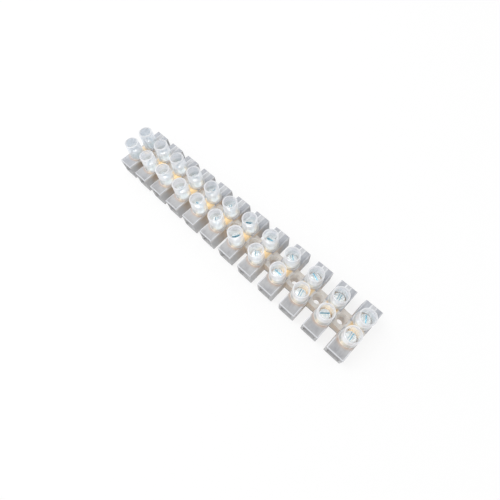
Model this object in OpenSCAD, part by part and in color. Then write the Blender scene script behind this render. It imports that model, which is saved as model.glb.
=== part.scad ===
// Screw-tower terminal strip: one moulded row of ways, each with a brass clamp tube and two slotted screws.
// Millimetres. X runs along the strip, Y from wire mouth to wire mouth, Z up.
// The origin is on the underside, at the middle of the strip.

/* [Strip] */
// Number of ways side by side
ways = 12; // [2:1:16]
// Distance from the middle of one way to the middle of the next
pitch = 10; // [9.6:0.1:14]
// Length of a way's bar, from mouth to mouth
bar_l = 20.8; // [19:0.2:26]
// Height of the strip, underside to tower rims
strip_h = 14.1; // [13:0.1:18]

/* [Moulding walls] */
// Wall beside a wire mouth
side_wall = 0.85; // [0.7:0.05:1.2]
// Wall under a wire mouth
floor_wall = 0.9; // [0.6:0.1:1.6]
// Wall over a wire mouth
roof_wall = 1; // [0.8:0.1:1.6]
// Thin wall over the clamp tube, in the valley between the two towers
valley_wall = 0.35; // [0.3:0.05:0.6]
// Length of the valley between the two towers, at the bar's sides
valley_l = 3.2; // [2:0.1:4]
// Width of the webs that join the bars, across the strip
web_w = 6.4; // [5:0.2:8]
// Chamfer along a bar's upper edges
edge_chamfer = 0.2; // [0.1:0.05:0.4]
// Chamfer under a bar's two ends
foot_chamfer = 0.4; // [0.2:0.05:0.6]

/* [Screw towers] */
// Distance between a way's two screws
screw_spacing = 7.24; // [6.8:0.02:8.4]
// Outside diameter of a tower at its rim
tower_rim_d = 5.56; // [5.2:0.02:5.8]
// Outside diameter of a tower at its foot
tower_foot_d = 6; // [5.8:0.02:6.2]
// Diameter of the screwdriver hole in a tower
tower_hole_d = 4.4; // [4:0.1:4.7]
// Chamfer round a tower's rim
rim_chamfer = 0.15; // [0.05:0.05:0.3]

/* [Rib on one side's boxes] */
// Width of the flat rib
rib_w = 1.6; // [0.8:0.1:3]
// Height of the flat rib over the box
rib_h = 0.25; // [0.1:0.05:0.6]

/* [Fixing holes] */
// Diameter of the hole through a web
fixing_hole_d = 2.4; // [2:0.1:3]
// Diameter of the hole's funnel at the top
funnel_d = 3.8; // [3.4:0.1:4]
// Depth of the funnel
funnel_depth = 2.2; // [1:0.1:2.6]

/* [Clamp tubes] */
// Length of a clamp tube
tube_l = 13.2; // [12:0.1:15]
// Diameter of the wire bore in a clamp tube
wire_bore_d = 3.2; // [2.8:0.1:3.4]
// Wall of a clamp tube
tube_wall = 0.7; // [0.6:0.05:0.8]
// Chamfer at the mouths of the wire bore
bore_chamfer = 0.2; // [0.1:0.05:0.4]

/* [Screws] */
// Nominal thread diameter
thread_d = 3; // [2.5:0.1:3]
// Length of a screw under its head
shank_l = 3.7; // [3:0.1:4.4]
// Diameter of a screw head
head_d = 3.5; // [3.3:0.1:3.7]
// Height of a screw head
head_h = 1.5; // [1.2:0.1:1.9]
// Width of the slot in a screw head
slot_w = 0.9; // [0.5:0.1:1]
// Depth of the slot in a screw head
slot_depth = 0.8; // [0.5:0.1:1]
// Chamfer at a screw's point
point_chamfer = 0.35; // [0.2:0.05:0.5]

/* [Clearances] */
// Gap round a clamp tube in its seat, at each side
tube_play = 0.05; // [0.02:0.01:0.1]
// Gap between a clamp tube and its seat at each end
tube_end_play = 0.05; // [0.02:0.01:0.2]
// How much wider than the clamp tube a mouth is, at each side
mouth_side_play = 0.1; // [0.08:0.01:0.3]
// How much higher than the clamp tube a mouth is, above and below
mouth_height_play = 0.3; // [0.2:0.05:0.6]
// Gap between a screw's shank and its tapped hole, at each side
thread_play = 0.05; // [0.03:0.01:0.1]
// Gap between a backed-off screw's point and the wire bore
point_gap = 0.1; // [0.05:0.05:0.4]

/* [Hidden] */
$fn = 96;
cut = 1; // how far a cutting solid reaches past what it cuts

tube_r = wire_bore_d / 2 + tube_wall;
seat_r = tube_r + tube_play;
seat_l = tube_l + 2 * tube_end_play;
mouth_w = 2 * (tube_r + mouth_side_play);
mouth_h = 2 * (tube_r + mouth_height_play);
bar_w = mouth_w + 2 * side_wall;
bar_h = floor_wall + mouth_h + roof_wall;
tube_z = floor_wall + mouth_h / 2;
web_h = tube_z + seat_r + valley_wall;
strip_l = (ways - 1) * pitch + bar_w;

shank_r = thread_d / 2 - thread_play;
point_z = tube_z + wire_bore_d / 2 + point_gap;
head_z = point_z + shank_l;

// The angle at which each screw was left, in degrees from X, towards the ribbed side and away from it
slot_angles_ribbed = [20, 65, 110, 40, 85, 150, 35, 12, 142, 160, 100, 121];
slot_angles_plain = [70, 120, 35, 95, 10, 140, 60, 125, 178, 104, 41, 96];

sides = [[1, "ribbed"], [-1, "plain"]];
function two_digits(n) = str(n < 10 ? "0" : "", n);
function tube_name(way) = str("clamp_tube_", two_digits(way));
function screw_name(side, way) = str("screw_", side[1], "_", two_digits(way));
function slot_angle(side, way) =
    (side[0] > 0 ? slot_angles_ribbed : slot_angles_plain)[(way - 1) % 12];

// Puts its children at a way's middle
module at_way(way) translate([(way - (ways + 1) / 2) * pitch, 0, 0]) children();

// Puts its children in the middle of the web that follows a way
module at_web(way) translate([(way - ways / 2) * pitch, 0, 0]) children();

// Turns a shape drawn along Z to lie along Y
module along_y() rotate([90, 0, 0]) children();

// An end view of a bar, extruded along Y, meets a side view, extruded along X
module bar_block() {
    half_w = bar_w / 2;
    half_l = bar_l / 2;
    c = edge_chamfer;
    f = foot_chamfer;
    intersection() {
        along_y() linear_extrude(bar_l + 2 * cut, center = true)
            polygon([[-half_w, 0], [half_w, 0], [half_w, bar_h - c],
                     [half_w - c, bar_h], [c - half_w, bar_h], [-half_w, bar_h - c]]);
        rotate([90, 0, 90]) linear_extrude(bar_w + 2 * cut, center = true)
            polygon([[f - half_l, 0], [half_l - f, 0], [half_l, f], [half_l, bar_h - c],
                     [half_l - c, bar_h], [c - half_l, bar_h], [-half_l, bar_h - c], [-half_l, f]]);
    }
}

// The rib along the top of the box on one side
module box_rib() {
    translate([-rib_w / 2, screw_spacing / 2, web_h])
        cube([rib_w, (bar_l - screw_spacing) / 2 - edge_chamfer, bar_h + rib_h - web_h]);
}

// One tower's outside, slightly drafted, with a chamfered rim
module tower_body() {
    foot_r = tower_foot_d / 2;
    rim_r = tower_rim_d / 2;
    translate([0, 0, tube_z]) rotate_extrude()
        polygon([[0, 0], [foot_r, 0], [foot_r, web_h - tube_z],
                 [rim_r, strip_h - tube_z - rim_chamfer],
                 [rim_r - rim_chamfer, strip_h - tube_z], [0, strip_h - tube_z]]);
}

// A bar with its valley, towers and rib, before it is hollowed
module way_outside() {
    difference() {
        bar_block();
        translate([-bar_w / 2 - cut, -valley_l / 2, web_h])
            cube([bar_w + 2 * cut, valley_l, bar_h]);
    }
    for (side = sides) translate([0, side[0] * screw_spacing / 2, 0]) tower_body();
    box_rib();
}

// What is open inside a way: two square mouths, the tube's seat and two screwdriver holes
module way_hollow() {
    for (side = sides) {
        translate([-mouth_w / 2, side[0] > 0 ? seat_l / 2 : -bar_l / 2 - cut, floor_wall])
            cube([mouth_w, (bar_l - seat_l) / 2 + cut, mouth_h]);
        translate([0, side[0] * screw_spacing / 2, tube_z])
            cylinder(h = strip_h, d = tower_hole_d);
    }
    translate([0, 0, tube_z]) along_y()
        cylinder(h = seat_l + 2 * tube_end_play, r = seat_r, center = true);
}

// The hole through a web, with its funnel
module fixing_hole() {
    translate([0, 0, -cut]) cylinder(h = web_h + cut, d = fixing_hole_d);
    translate([0, 0, web_h - funnel_depth])
        cylinder(h = funnel_depth, d1 = fixing_hole_d, d2 = funnel_d);
}

// The moulding: every bar, the webs between them and all that is open in them
module housing() {
    color([0.87, 0.88, 0.9, 0.55]) difference() {
        union() {
            translate([-strip_l / 2, -web_w / 2, 0]) cube([strip_l, web_w, web_h]);
            for (way = [1 : ways]) at_way(way) way_outside();
        }
        for (way = [1 : ways]) at_way(way) way_hollow();
        for (way = [1 : ways - 1]) at_web(way) fixing_hole();
    }
}

// A brass tube with a chamfered wire bore and two tapped holes in its top
module clamp_tube() {
    bore_r = wire_bore_d / 2;
    half_l = tube_l / 2;
    c = bore_chamfer;
    color("goldenrod") translate([0, 0, tube_z]) difference() {
        along_y() rotate_extrude()
            polygon([[bore_r, c - half_l], [bore_r + c, -half_l], [tube_r, -half_l],
                     [tube_r, half_l], [bore_r + c, half_l], [bore_r, half_l - c]]);
        for (side = sides) translate([0, side[0] * screw_spacing / 2, 0])
            cylinder(h = tube_r + cut, d = thread_d);
    }
}

// A slotted cheese-head screw, its axis on Z and its slot along X
module screw() {
    head_r = head_d / 2;
    c = point_chamfer;
    top = shank_l + head_h;
    color("silver") difference() {
        rotate_extrude()
            polygon([[0, 0], [shank_r - c, 0], [shank_r, c], [shank_r, shank_l], [head_r, shank_l],
                     [head_r, top - c / 2], [head_r - c / 2, top], [0, top]]);
        translate([-head_r - cut, -slot_w / 2, top - slot_depth])
            cube([head_d + 2 * cut, slot_w, slot_depth + cut]);
    }
}

housing();
for (way = [1 : ways])
    at_way(way) clamp_tube();
for (side = sides, way = [1 : ways])
    at_way(way) translate([0, side[0] * screw_spacing / 2, point_z])
            rotate(slot_angle(side, way)) screw();
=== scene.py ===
# Screw-tower terminal strip: one milky-clear moulding of twelve ways, each with a brass clamp tube
# and two slotted screws. It is dressed here in the order in which it is put together.
import math

import bmesh
import bpy
from mathutils import Euler, Matrix, Vector


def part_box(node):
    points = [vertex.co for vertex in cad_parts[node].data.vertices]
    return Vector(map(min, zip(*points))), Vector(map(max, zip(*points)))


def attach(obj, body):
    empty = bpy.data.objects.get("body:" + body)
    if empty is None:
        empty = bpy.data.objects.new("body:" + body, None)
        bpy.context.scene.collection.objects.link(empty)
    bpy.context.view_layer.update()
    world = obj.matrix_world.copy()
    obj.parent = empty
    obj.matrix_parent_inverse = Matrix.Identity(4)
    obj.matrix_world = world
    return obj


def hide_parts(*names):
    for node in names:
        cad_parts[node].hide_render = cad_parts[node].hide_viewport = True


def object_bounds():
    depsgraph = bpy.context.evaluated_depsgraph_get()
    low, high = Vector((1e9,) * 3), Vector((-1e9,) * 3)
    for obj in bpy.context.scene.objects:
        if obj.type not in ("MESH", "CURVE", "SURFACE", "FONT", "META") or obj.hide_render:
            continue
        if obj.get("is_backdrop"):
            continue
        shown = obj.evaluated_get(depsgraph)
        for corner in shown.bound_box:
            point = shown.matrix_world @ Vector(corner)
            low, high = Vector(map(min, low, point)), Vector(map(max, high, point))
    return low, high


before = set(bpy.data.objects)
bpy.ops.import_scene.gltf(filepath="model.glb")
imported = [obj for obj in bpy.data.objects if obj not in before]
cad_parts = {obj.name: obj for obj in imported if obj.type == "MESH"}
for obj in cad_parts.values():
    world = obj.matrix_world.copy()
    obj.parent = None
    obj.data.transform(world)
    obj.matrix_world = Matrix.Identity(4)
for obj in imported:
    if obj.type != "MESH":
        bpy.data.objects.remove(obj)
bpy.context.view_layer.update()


# ---- Housing ----
# One shot of natural, milky-clear polyamide: boxed bars with two screw towers each, joined by webs.
# It leaves the mould with its long corners slightly rounded and with faint flow clouds inside. Its
# colour also carries painted shade, painted highlights and a painted glow of the brass and the
# screws behind its clear walls.

mm = 0.001


class Flow:
    """A socket in a material's nodes. A sum or product of it adds Math nodes behind it."""

    def __init__(self, tree, socket=None):
        self.tree = tree
        self.socket = socket

    def node(self, kind, settings=None, output=0, **inputs):
        """Adds a node. Its inputs are i0, i1 and so on by place, or names with _ for a space."""
        made = self.tree.nodes.new("ShaderNode" + kind)
        for name, value in (settings or {}).items():
            if name == "stops":
                ramp = made.color_ramp.elements
                while len(ramp) < len(value):
                    ramp.new(0.5)
                for stop, (place, colour) in zip(ramp, value):
                    stop.position = place
                    stop.color = (*colour, 1)
            else:
                setattr(made, name, value)
        for name, value in inputs.items():
            key = int(name[1:]) if name[1:].isdigit() else name.replace("_", " ")
            if isinstance(value, Flow):
                self.tree.links.new(value.socket, made.inputs[key])
            else:
                made.inputs[key].default_value = value
        return Flow(self.tree, made.outputs[output])

    def math(self, operation, first, second=0.0):
        return self.node("Math", {"operation": operation}, i0=first, i1=second)

    def __add__(self, other):
        return self.math("ADD", self, other)

    def __sub__(self, other):
        return self.math("SUBTRACT", self, other)

    def __mul__(self, other):
        return self.math("MULTIPLY", self, other)

    def __truediv__(self, other):
        return self.math("DIVIDE", self, other)

    def __rsub__(self, other):
        return self.math("SUBTRACT", other, self)

    def __abs__(self):
        return self.math("ABSOLUTE", self)

    __radd__ = __add__
    __rmul__ = __mul__

    def step(self, low, high):
        """0 where self is under low, 1 where it is over high, and smooth between."""
        settings = {"interpolation_type": "SMOOTHSTEP"}
        return self.node("MapRange", settings, i0=self, i1=low, i2=high)

    def band(self, low, high, soft):
        """1 between low and high, with soft edges."""
        return self.step(low, low + soft) * (1 - self.step(high - soft, high))

    def mix(self, colour, share):
        """This colour, with that share of the other."""
        if not isinstance(colour, Flow):
            colour = (*colour, 1)
        return self.node("Mix", {"data_type": "RGBA"}, 2, i0=share, i6=self, i7=colour)

    def colour(self, red, green, blue):
        return self.node("CombineColor", i0=red, i1=green, i2=blue)

    def place(self):
        """The point on the piece, in millimetres, as (vector, x, y, z)."""
        at = self.node("TexCoord", output=3)
        at = self.node("VectorMath", {"operation": "SCALE"}, Vector=at, Scale=1 / mm)
        return [at] + [self.node("SeparateXYZ", output=k, i0=at) for k in range(3)]

    def reach(self, first, second):
        """The length of two parts at right angles."""
        return self.math("SQRT", first * first + second * second)

    def noise(self, at, scale, detail=2.0):
        return self.node("TexNoise", i0=at, Scale=scale, Detail=detail)

    def bump(self, height, distance):
        """A surface whose height, from 0 to 1, is that distance in metres."""
        return self.node("Bump", Strength=1.0, Distance=distance, Height=height)


def new_material(name):
    """An empty material and its tree."""
    material = bpy.data.materials.new(name)
    material.use_nodes = True
    material.node_tree.nodes.clear()
    return material, Flow(material.node_tree)


def finish_material(material, shader):
    out = material.node_tree.nodes.new("ShaderNodeOutputMaterial")
    material.node_tree.links.new(shader.socket, out.inputs[0])
    return material


def add_piece(name, mesh, material):
    """A new object that shows the mesh in one material."""
    piece = bpy.data.objects.new(name, mesh)
    bpy.context.scene.collection.objects.link(piece)
    mesh.materials.clear()
    mesh.materials.append(material)
    return piece


def shade_smooth(mesh, sharpest):
    """Smooth shading, with edges over that angle left sharp."""
    for face in mesh.polygons:
        face.use_smooth = True
    mesh.set_sharp_from_angle(angle=math.radians(sharpest))


# Sizes in millimetres, as distances from the strip's middle, a way's middle or the underside
pitch = 10.0          # from one way to the next
first_gap_x = -50.0   # between the first way and the second
strip_end = 58.25     # the strip's two end faces
tower_y = 3.62        # a tower's axis
tower_foot_r = 3.0    # a tower's outside, at its foot
driver_r = 2.2        # a tower's screwdriver hole
rim_z = 14.1          # the towers' rims
tube_z = 3.5          # the clamp tube's axis
seat_r = 2.35         # the tube's seat
seat_end = 6.65       # where the seat ends and the mouth begins
mouth_half = 2.4      # a mouth's side wall
mouth_low = 0.9       # a mouth's floor
mouth_high = 6.1      # a mouth's roof
bar_half = 3.25       # a bar's side
bar_end = 10.4        # a bar's end
box_top = 7.1         # the boxes' upper faces
web_top = 6.2         # the webs' and the valleys' upper faces
web_half = 3.2        # a web's side
valley_half = 1.6     # the valley's two ends
funnel_r = 1.9        # a fixing hole's funnel, at the top
rib_half = 0.8        # the rib's side

material, tree = new_material("natural_plastic")
at, x, y, z = tree.place()
along = tree.math("FRACT", x / pitch) * pitch - pitch / 2      # from the middle of the nearest way
off = abs(along)
across = abs(y)
ribbed = y.step(-0.5, 0.5)
from_tower = tree.reach(along, across - tower_y)
from_tube = tree.reach(along, z - tube_z)
from_hole = tree.reach(off - pitch / 2, y)
clouds = tree.noise(at, 0.35, 3.0)
fine = tree.noise(at, 2.5, 2.0)
drawn = tree.node("VectorMath", {"operation": "MULTIPLY"}, i0=at, i1=(2.2, 0.5, 0.6))
streaks = tree.noise(drawn, 1.0, 3.0).step(0.35, 0.7)

# Where a point is: 1 inside each region and 0 outside it
on_bar = 1 - off.step(bar_half + 0.05, bar_half + 0.15)
in_web = 1 - on_bar
in_hole = in_web * (1 - from_hole.step(funnel_r - 0.05, funnel_r + 0.05))
in_hole = in_hole * (1 - z.step(web_top - 0.3, web_top - 0.05))
in_tower = 1 - from_tower.step(tower_foot_r + 0.04, tower_foot_r + 0.08)
in_tower = in_tower * z.step(web_top + 0.1, box_top + 0.1)
in_bore = 1 - from_tower.step(driver_r + 0.02, driver_r + 0.06)
in_bore = in_bore * z.step(web_top - 0.7, web_top - 0.2)
in_seat = 1 - from_tube.step(seat_r + 0.02, seat_r + 0.05)
in_seat = in_seat * (1 - across.step(seat_end - 0.03, seat_end + 0.03))
in_mouth = 1 - off.step(mouth_half + 0.02, mouth_half + 0.06)
in_mouth = in_mouth * across.step(seat_end - 0.03, seat_end + 0.03)
in_mouth = in_mouth * z.band(mouth_low - 0.05, mouth_high + 0.05, 0.03)
in_rim = z.step(rim_z - 0.35, rim_z - 0.15)
inner = tree.math("MAXIMUM", in_bore * (1 - in_rim), in_seat)
first = 1 - x.step(first_gap_x - 1.0, first_gap_x + 1.0)
far = 1 - x.step(-65.0, -35.0)
by_web_top = z.band(web_top - 0.2, web_top + 0.3, 0.1)
in_valley = (1 - across.step(valley_half, valley_half + 0.6)) * (1 - off.step(1.9, 2.7))
in_valley = in_valley * by_web_top
lit_valley_floor = on_bar * (1 - across.step(valley_half - 0.2, valley_half)) * by_web_top

# The parts of a tower, the painted highlight round its foot and the painted brass glow and shade on
# the box beside it
clearer = in_tower * z.band(box_top + 0.2, 11.0, 1.0)
foot_highlight = in_tower * z.band(box_top - 0.2, box_top + 0.4, 0.2)
rim_highlight = in_rim * from_tower.step(2.5, 2.6)
foot_glow = (1 - from_tower.step(tower_foot_r + 0.1, tower_foot_r + 1.3)) * across.step(4.5, 5.6)
foot_glow = foot_glow * (1 - in_tower) * (1 - ribbed) * z.step(box_top - 0.2, box_top - 0.1)

# The boxes' upper faces, the painted highlights along their edges and the rib's edges, and the
# painted shade at their feet
on_box = z.step(box_top - 0.08, box_top - 0.02)
on_rib = (1 - off.step(rib_half - 0.02, rib_half + 0.02)) * across.step(4.6, 4.7) * on_box * ribbed
rib_highlight = off.band(rib_half - 0.25, rib_half + 0.35, 0.12) * across.step(5.8, 6.2)
rib_highlight = rib_highlight * on_box * ribbed
near_top = z.step(box_top - 0.3, box_top - 0.1)
side_edge_highlight = off.step(bar_half - 0.5, bar_half - 0.25) * across.step(5.5, 6.5) * near_top
end_edge_highlight = across.step(bar_end - 0.45, bar_end - 0.25) * near_top * (1 - ribbed)
box_edge_highlight = tree.math("MAXIMUM", side_edge_highlight, end_edge_highlight)
foot_shade = across.step(bar_end - 0.2, bar_end - 0.1) * (1 - z.step(mouth_low - 0.1, mouth_low + 0.1))

# The bars' sides, with painted light at their tops and a painted brass glow and shade where the
# webs meet them, and the webs with their funnelled holes
outermost = abs(x).step(strip_end - 1.25, strip_end - 0.25)
in_side = off.step(bar_half - 0.07, bar_half - 0.01) * on_bar
lit_side_top = in_side * z.step(web_top - 0.5, web_top + 0.5)
side_end = in_side * across.step(bar_end - 1.8, bar_end - 0.8) * ribbed
brass_shade_by_web = in_side * (1 - across.step(web_half + 1.6, web_half + 5.0)) * (1 - 0.4 * outermost)
brass_glow_at_web = in_side * (1 - across.step(web_half, web_half + 1.8)) * (1 - 0.7 * outermost)
over_web = z.step(web_top - 0.1, web_top)
web_side = in_web * (1 - over_web) * z.step(0.8, 1.6)
hole_highlight = in_web * from_hole.band(funnel_r - 0.3, funnel_r + 0.3, 0.2)
hole_highlight = hole_highlight * z.step(web_top - 1.0, web_top - 0.3) * fine.step(0.4, 0.6)

# The plastic's own milky tone and flow clouds, then painted shade, painted highlights and painted
# brass glow laid over it by place
milky = tree.colour(0.49, 0.49, 0.50).mix((0.38, 0.38, 0.40), clouds.step(0.4, 0.7))
for colour, share in [
    ((0.44, 0.46, 0.51), ribbed * 0.8),
    ((0.52, 0.56, 0.64), far * 0.6),
    # The bars' sides: lighter on the plain side and darker towards the ribbed ends; painted brass
    # shade and glow by the webs, and painted light at their tops
    ((0.64, 0.64, 0.65), in_side * (1 - ribbed)),
    ((0.38, 0.39, 0.41), side_end),
    ((0.58, 0.47, 0.38), brass_shade_by_web),
    ((0.88, 0.71, 0.54), brass_glow_at_web),
    ((0.84, 0.81, 0.78), lit_side_top * (1 - 0.6 * ribbed)),
    # Painted highlights along the box edges and the rib's edges; the rib itself lighter
    ((0.86, 0.88, 0.92), box_edge_highlight * (1 - 0.4 * ribbed)),
    ((0.64, 0.65, 0.68), on_rib),
    ((0.92, 0.93, 0.95), rib_highlight),
    # Painted shade at the foot of the end faces, under the mouths
    ((0.34, 0.34, 0.34), foot_shade),
    # Painted brass glow and shade round the towers' feet
    ((0.62, 0.46, 0.36), foot_glow * 0.8),
    # Painted brass glow on the webs' tops and sides
    ((0.73, 0.68, 0.62), in_web * over_web),
    ((0.92, 0.74, 0.54), web_side),
    # Painted shade inside the fixing holes, lighter in the funnel, with a painted highlight round
    # its edge
    ((0.66, 0.56, 0.46), in_hole),
    ((0.86, 0.81, 0.75), in_hole * z.step(3.9, 4.4)),
    ((0.94, 0.92, 0.90), hole_highlight * 0.7),
    # Painted shade: the towers darker towards the bottom
    ((0.94, 0.95, 0.98), in_tower * (0.6 + 0.4 * z.step(7.0, 9.5))),
    ((0.86, 0.96, 1.0), clearer * 0.8),
    # Painted highlight round the tower's foot
    ((1.0, 0.97, 0.93), foot_highlight * 0.7),
    ((0.60, 0.67, 0.74), in_tower * first * (0.25 + 0.55 * inner)),
    # Painted shade inside the mouths
    ((0.43, 0.43, 0.44), in_mouth),
    ((0.66, 0.67, 0.69), in_rim),
    # Painted highlight round the rims
    ((0.92, 0.93, 0.95), rim_highlight * (1 - 0.3 * ribbed)),
    ((0.62, 0.64, 0.66), streaks * (0.3 - 0.15 * in_tower)),
    # Painted light on the valley floor and a painted brass glow in the valley
    ((0.74, 0.72, 0.70), lit_valley_floor),
    ((1.0, 0.80, 0.50), in_valley),
]:
    milky = milky.mix(colour, share)

# How solid the plastic looks: its outside scatters the light, and its inner walls are mostly clear
solidity = 0.7 - 0.05 * in_tower - 0.22 * clearer - 0.35 * in_valley
solidity = solidity + 0.1 * in_mouth + 0.1 * in_rim + 0.15 * foot_shade
cleared = 0.75 - 0.4 * in_tower * (1 - z.step(8.4, 9.0)) - 0.4 * first
solidity = solidity * (1 - cleared * inner)

# Light that the clear walls gather from white surroundings
in_tower_hole = in_tower * inner
glow = tree.colour(0, 0, 0)
for colour, share in [
    ((0.075, 0.08, 0.09), in_tower),
    ((0.16, 0.18, 0.19), clearer),
    ((0.25, 0.265, 0.29), in_tower_hole),
    ((0.11, 0.115, 0.13), in_tower_hole * ribbed),
    ((0.80, 0.80, 0.80), in_tower_hole * (1 - z.step(8.5, 10.0))),
    ((0.06, 0.055, 0.05), in_hole),
    ((0.04, 0.05, 0.06), in_tower_hole * first),
    ((0.52, 0.38, 0.21), in_valley),
    ((0.03, 0.03, 0.03), in_mouth),
    ((0, 0, 0), in_rim),
]:
    glow = glow.mix(colour, share)
rough = 0.3 + 0.12 * fine
skin = tree.bump(clouds * 0.6 + fine * 0.4, 0.00004)
shader = tree.node("BsdfPrincipled", Base_Color=milky, Roughness=rough, Normal=skin,
                   IOR=1.5, Alpha=solidity, Emission_Color=glow, Emission_Strength=1.0)
natural_plastic = finish_material(material, shader)

corner = 0.12         # rounding of the long corners
sharp = 60            # an edge that turns by more degrees than this is rounded
shortest = 0.8        # and is longer than this
tall = 6.0            # an inner edge is rounded where it stands taller than this
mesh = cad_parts["housing"].data.copy()
work = bmesh.new()
work.from_mesh(mesh)
bmesh.ops.remove_doubles(work, verts=work.verts, dist=0.001 * mm)
bmesh.ops.dissolve_limit(work, angle_limit=math.radians(0.5), verts=work.verts, edges=work.edges)
work.normal_update()
corners = []
for edge in work.edges:
    turn = math.degrees(edge.calc_face_angle_signed())
    length = edge.calc_length() / mm
    upright = abs((edge.verts[0].co - edge.verts[1].co).z) / mm > tall
    if (turn > sharp and length > shortest) or (turn < -sharp and upright):
        corners.append(edge)
bmesh.ops.bevel(work, geom=corners, offset=corner * mm, offset_type="OFFSET", segments=2,
                profile=0.5, affect="EDGES", clamp_overlap=False, loop_slide=True)
work.to_mesh(mesh)
work.free()
mesh.name = "housing_moulding"
shade_smooth(mesh, 28)
housing = add_piece("housing_moulding", mesh, natural_plastic)
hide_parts("housing")
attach(housing, "strip")


# ---- Clamp tubes ----
# A length of drawn brass tube in each way, its ends faced and deburred, with two holes tapped
# through its top for the screws. It slides into its seat in the housing from one mouth.

material, tree = new_material("brass")
at, x, y, z = tree.place()
dull = tree.noise(at, 0.5, 3.0)
drawn = tree.node("VectorMath", {"operation": "MULTIPLY"}, i0=at, i1=(6.0, 0.4, 6.0))
lines = tree.noise(drawn, 1.0, 2.0)
gold = tree.colour(1.0, 0.74, 0.38).mix((0.88, 0.60, 0.26), dull.step(0.35, 0.8))
shader = tree.node("BsdfPrincipled", Base_Color=gold, Roughness=0.32 + 0.2 * lines,
                   Metallic=1.0, Normal=tree.bump(lines, 0.00002))
brass = finish_material(material, shader)


def on_circle(radius, angle, height):
    """A point about Z, in metres."""
    return radius * math.cos(angle) * mm, radius * math.sin(angle) * mm, height * mm


def revolve(work, profile, around):
    """Rings about Z through (radius, height) points; a radius of 0 ends in one point."""
    rings = []
    for radius, height in profile:
        steps = around if radius > 0 else 1
        turns = [2 * math.pi * k / around for k in range(steps)]
        rings.append([work.verts.new(on_circle(radius, angle, height)) for angle in turns])
    for low, high in zip(rings, rings[1:]):
        for k in range(around):
            face = [low[k % len(low)], low[(k + 1) % len(low)],
                    high[(k + 1) % len(high)], high[k % len(high)]]
            work.faces.new(list(dict.fromkeys(face)))


def cut_thread(work, low, high, root, crest, around, fade=0.35):
    """A right-hand M3 thread about Z, which fades to its root radius at both ends."""
    lead = 0.5
    form = [(0, 0), (0.15, 0), (0.42, 1), (0.58, 1), (0.85, 0)]    # share of the lead, of the depth
    turns = math.ceil((high - low) / lead) + 1
    rows = []
    for turn in range(-1, turns):
        for share, depth in form:
            row = []
            for k in range(around):
                height = min(max(low + (turn + share + k / around) * lead, low), high)
                full = min(1.0, (height - low) / fade, (high - height) / fade)
                radius = root + (crest - root) * depth * full
                angle = 2 * math.pi * k / around
                row.append(work.verts.new(on_circle(radius, angle, height)))
            rows.append(row)
    per_turn = len(form)
    for j in range(len(rows) - 1):
        for k in range(around):
            if k + 1 < around:
                face = [rows[j][k], rows[j][k + 1], rows[j + 1][k + 1], rows[j + 1][k]]
            elif j + per_turn + 1 < len(rows):
                face = [rows[j][k], rows[j + per_turn][0],
                        rows[j + per_turn + 1][0], rows[j + 1][k]]
            else:
                continue
            work.faces.new(face)


def tidy(work):
    """Joins what meets, drops what has no area and turns every face outwards."""
    bmesh.ops.remove_doubles(work, verts=work.verts, dist=0.002 * mm)
    bmesh.ops.dissolve_degenerate(work, dist=0.001 * mm, edges=work.edges)
    bmesh.ops.recalc_face_normals(work, faces=work.faces)


def cut_away(mesh, cutters):
    """The mesh with the cutters' solids taken out of it."""
    body = bpy.data.objects.new("body", mesh)
    bpy.context.scene.collection.objects.link(body)
    tools = []
    for cutter in cutters:
        tool = bpy.data.objects.new("tool", cutter)
        bpy.context.scene.collection.objects.link(tool)
        tools.append(tool)
        step = body.modifiers.new("cut", "BOOLEAN")
        step.operation = "DIFFERENCE"
        step.solver = "MANIFOLD"
        step.object = tool
    shown = body.evaluated_get(bpy.context.evaluated_depsgraph_get())
    result = bpy.data.meshes.new_from_object(shown)
    for thing in [body] + tools:
        bpy.data.objects.remove(thing)
    return result


tube_half = 6.6       # half of the tube's length
tube_r = 2.3          # its outside radius
wire_r = 1.6          # its bore's radius
wire_edge = 0.2       # chamfer at the bore's mouths
tube_edge = 0.12      # rounding of the tube's outer ends
tube_bulge = 0.035    # how far that rounding stands in at its middle
tap_r = 1.52          # the tapped holes' smallest radius
tap_depth = 0.14      # depth of their thread
tap_low = 0.6         # where the cut for them starts over the tube's axis
tap_high = 3.1        # and ends

work = bmesh.new()
revolve(work, [(wire_r + wire_edge, -tube_half),
               (tube_r - tube_edge, -tube_half),
               (tube_r - tube_bulge, tube_bulge - tube_half),
               (tube_r, tube_edge - tube_half),
               (tube_r, tube_half - tube_edge),
               (tube_r - tube_bulge, tube_half - tube_bulge),
               (tube_r - tube_edge, tube_half),
               (wire_r + wire_edge, tube_half),
               (wire_r, tube_half - wire_edge),
               (wire_r, wire_edge - tube_half),
               (wire_r + wire_edge, -tube_half)], 64)
tidy(work)
work.transform(Matrix.Rotation(math.radians(-90), 4, "X"))
tube = bpy.data.meshes.new("clamp_tube")
work.to_mesh(tube)
work.free()
taps = []
for side in (-1, 1):
    work = bmesh.new()
    cut_thread(work, tap_low, tap_high, tap_r, tap_r + tap_depth, 40, fade=0.2)
    revolve(work, [(0, tap_low), (tap_r, tap_low)], 40)
    revolve(work, [(tap_r, tap_high), (0, tap_high)], 40)
    tidy(work)
    work.transform(Matrix.Translation((0, side * tower_y * mm, 0)))
    tap = bpy.data.meshes.new("tap")
    work.to_mesh(tap)
    work.free()
    taps.append(tap)
tube = cut_away(tube, taps)
shade_smooth(tube, 35)
ways = range(1, 13)
for way in ways:
    node = "clamp_tube_%02d" % way
    low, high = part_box(node)
    piece = add_piece("drawn_tube_%02d" % way, tube, brass)
    piece.location = ((low.x + high.x) / 2, (low.y + high.y) / 2, (low.z + high.z) / 2)
    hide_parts(node)
    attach(piece, "strip")


# ---- Screws ----
# Slotted cheese-head screws, turned from steel, with a rolled M3 thread, and zinc plated with a
# bluish passivation that gathers in the slot. Each stands backed off, turned as it was left.

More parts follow.
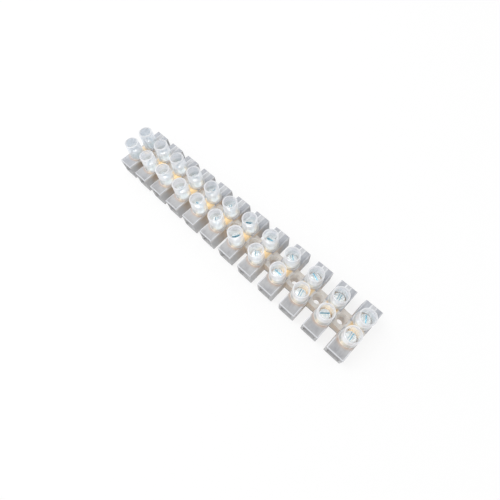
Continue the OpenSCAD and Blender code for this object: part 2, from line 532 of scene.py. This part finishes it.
# Radii, and heights over the screw's point, in millimetres
shank = 3.7           # underside of the head
head_r = 1.75
head_top = 5.2
under_edge = 0.08     # chamfer under the head
point_r = 0.95        # the flat at the point
point_top = 0.3       # where the point's cone ends and the thread starts
thread_top = 3.45
root_r = 1.2          # the thread's smallest radius
crest_r = 1.44        # and its largest
slot_half = 0.45      # half of the slot's width
slot_floor = 4.4
top_edge = [(0, 0.3), (0.04, 0.15), (0.14, 0.05), (0.3, 0)]    # in from the head's side, down

material, tree = new_material("zinc_plated_steel")
at, x, y, z = tree.place()
reflection_patches = tree.noise(at, 1.1, 2.0)
reflection_specks = tree.noise(at, 5.0, 2.0)
turned = tree.noise(tree.node("CombineXYZ", i0=tree.reach(x, y) * 9.0, i1=z * 9.0), 1.0, 1.0)
in_slot = 1 - abs(y).step(slot_half + 0.01, slot_half + 0.04)
in_slot = in_slot * z.step(slot_floor - 0.02, slot_floor)
teal = in_slot * abs(y).step(0.16, 0.3)
# The zinc, with painted reflections: light and grey patches and darker specks, and the bluish
# passivation in the slot
silver_and_reflections = tree.colour(0.90, 0.91, 0.88).mix((0.62, 0.68, 0.70), reflection_patches.step(0.42, 0.72))
silver_and_reflections = silver_and_reflections.mix((0.40, 0.48, 0.52), reflection_specks.step(0.62, 0.72) * 0.6)
silver_and_reflections = silver_and_reflections.mix((0.34, 0.54, 0.62), teal)
shader = tree.node("BsdfPrincipled", Base_Color=silver_and_reflections, Roughness=0.2 + 0.15 * reflection_patches,
                   Metallic=1.0, Normal=tree.bump(turned, 0.00002))
zinc = finish_material(material, shader)

work = bmesh.new()
cut_thread(work, point_top, thread_top, root_r, crest_r, 32)
revolve(work, [(0, 0), (point_r, 0), (root_r, point_top)], 32)
revolve(work, [(root_r, thread_top), (root_r, shank), (head_r - under_edge, shank),
               (head_r, shank + under_edge)]
        + [(head_r - inwards, head_top - down) for inwards, down in top_edge]
        + [(0, head_top)], 32)
tidy(work)
screw = bpy.data.meshes.new("slotted_screw")
work.to_mesh(screw)
work.free()
work = bmesh.new()
bmesh.ops.create_cube(work, size=1.0)
for vert in work.verts:
    vert.co.x *= 5 * mm
    vert.co.y *= 2 * slot_half * mm
    vert.co.z = (slot_floor + vert.co.z + 0.5) * mm
saw = bpy.data.meshes.new("saw")
work.to_mesh(saw)
work.free()
screw = cut_away(screw, [saw])
shade_smooth(screw, 35)
for side in ("ribbed", "plain"):
    for way in ways:
        node = "screw_%s_%02d" % (side, way)
        low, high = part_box(node)
        middle = (low + high) / 2
        floor_z = low.z + slot_floor * mm
        ends = [v.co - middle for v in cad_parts[node].data.vertices
                if abs(v.co.z - floor_z) < 0.01 * mm]
        furthest = max(ends, key=lambda p: p.x ** 2 + p.y ** 2)
        near = [p for p in ends if p.x * furthest.x + p.y * furthest.y > 0]
        way_out = sum((Vector((p.x, p.y)) for p in near), Vector((0, 0)))
        piece = add_piece("slotted_screw_%s_%02d" % (side, way), screw, zinc)
        piece.location = (middle.x, middle.y, low.z)
        piece.rotation_euler.z = math.atan2(way_out.y, way_out.x)
        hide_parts(node)
        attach(piece, node)


# ---- Camera, floor and light ----
# The strip lies on a pale table in a bright tent, under one soft lamp, and is seen from above its
# near end. Table and tent are plain white where the camera, a gloss or a clear wall sees them.

camera = bpy.data.cameras.new("camera")
camera.sensor_width = 36
camera.lens = 22.69
camera.clip_start = 1 * mm
seen_from = bpy.data.objects.new("camera", camera)
bpy.context.scene.collection.objects.link(seen_from)
seen_from.location = (47.17 * mm, -31.53 * mm, 110.53 * mm)
seen_from.rotation_euler = Euler([math.radians(a) for a in (23.734, 3.256, 44.268)])
bpy.context.scene.camera = seen_from


def seen_plainly(tree):
    """1 for light that the camera sees straight on, in a gloss or through a clear wall."""
    straight = tree.node("LightPath", output=0)
    glossy = tree.node("LightPath", output=3)
    through = tree.node("LightPath", output=6)
    return tree.math("MAXIMUM", straight, tree.math("MAXIMUM", glossy, through))


material, tree = new_material("table")
lit = tree.node("BsdfDiffuse", Color=(0.9, 0.9, 0.9, 1))
white = tree.node("Emission", Color=(1, 1, 1, 1), Strength=1.0)
plain = seen_plainly(tree) * 0.82    # the rest keeps the shadow
table_white = finish_material(material, tree.node("MixShader", i0=plain, i1=lit, i2=white))

mesh = bpy.data.meshes.new("table")
half = 1.5
mesh.from_pydata([(-half, -half, 0), (half, -half, 0), (half, half, 0), (-half, half, 0)], [],
                 [(0, 1, 2, 3)])
table = add_piece("table", mesh, table_white)
table.location.z = -0.02 * mm    # clear of the underside
table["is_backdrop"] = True

world = bpy.data.worlds.new("studio")
bpy.context.scene.world = world
world.use_nodes = True
world.node_tree.nodes.clear()
tree = Flow(world.node_tree)
height = tree.node("SeparateXYZ", output=2, i0=tree.node("TexCoord", output=0))
stops = [(0.0, (0.9, 0.9, 0.9)), (1.0, (0.75, 0.75, 0.75))]
glow = tree.node("ValToRGB", {"stops": stops}, i0=height)
sky = tree.node("Background", Color=glow.mix((1, 1, 1), seen_plainly(tree)), Strength=1.0)
out = world.node_tree.nodes.new("ShaderNodeOutputWorld")
world.node_tree.links.new(sky.socket, out.inputs[0])

lamp = bpy.data.lights.new("key", "AREA")
lamp.size = 0.4
lamp.energy = 2.0
hung = bpy.data.objects.new("key", lamp)
bpy.context.scene.collection.objects.link(hung)
hung.location = (-0.3, -0.1, 0.6)
hung.rotation_euler = (-hung.location).to_track_quat("-Z", "Y").to_euler()

bpy.context.scene.view_settings.view_transform = "Standard"

low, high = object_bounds()
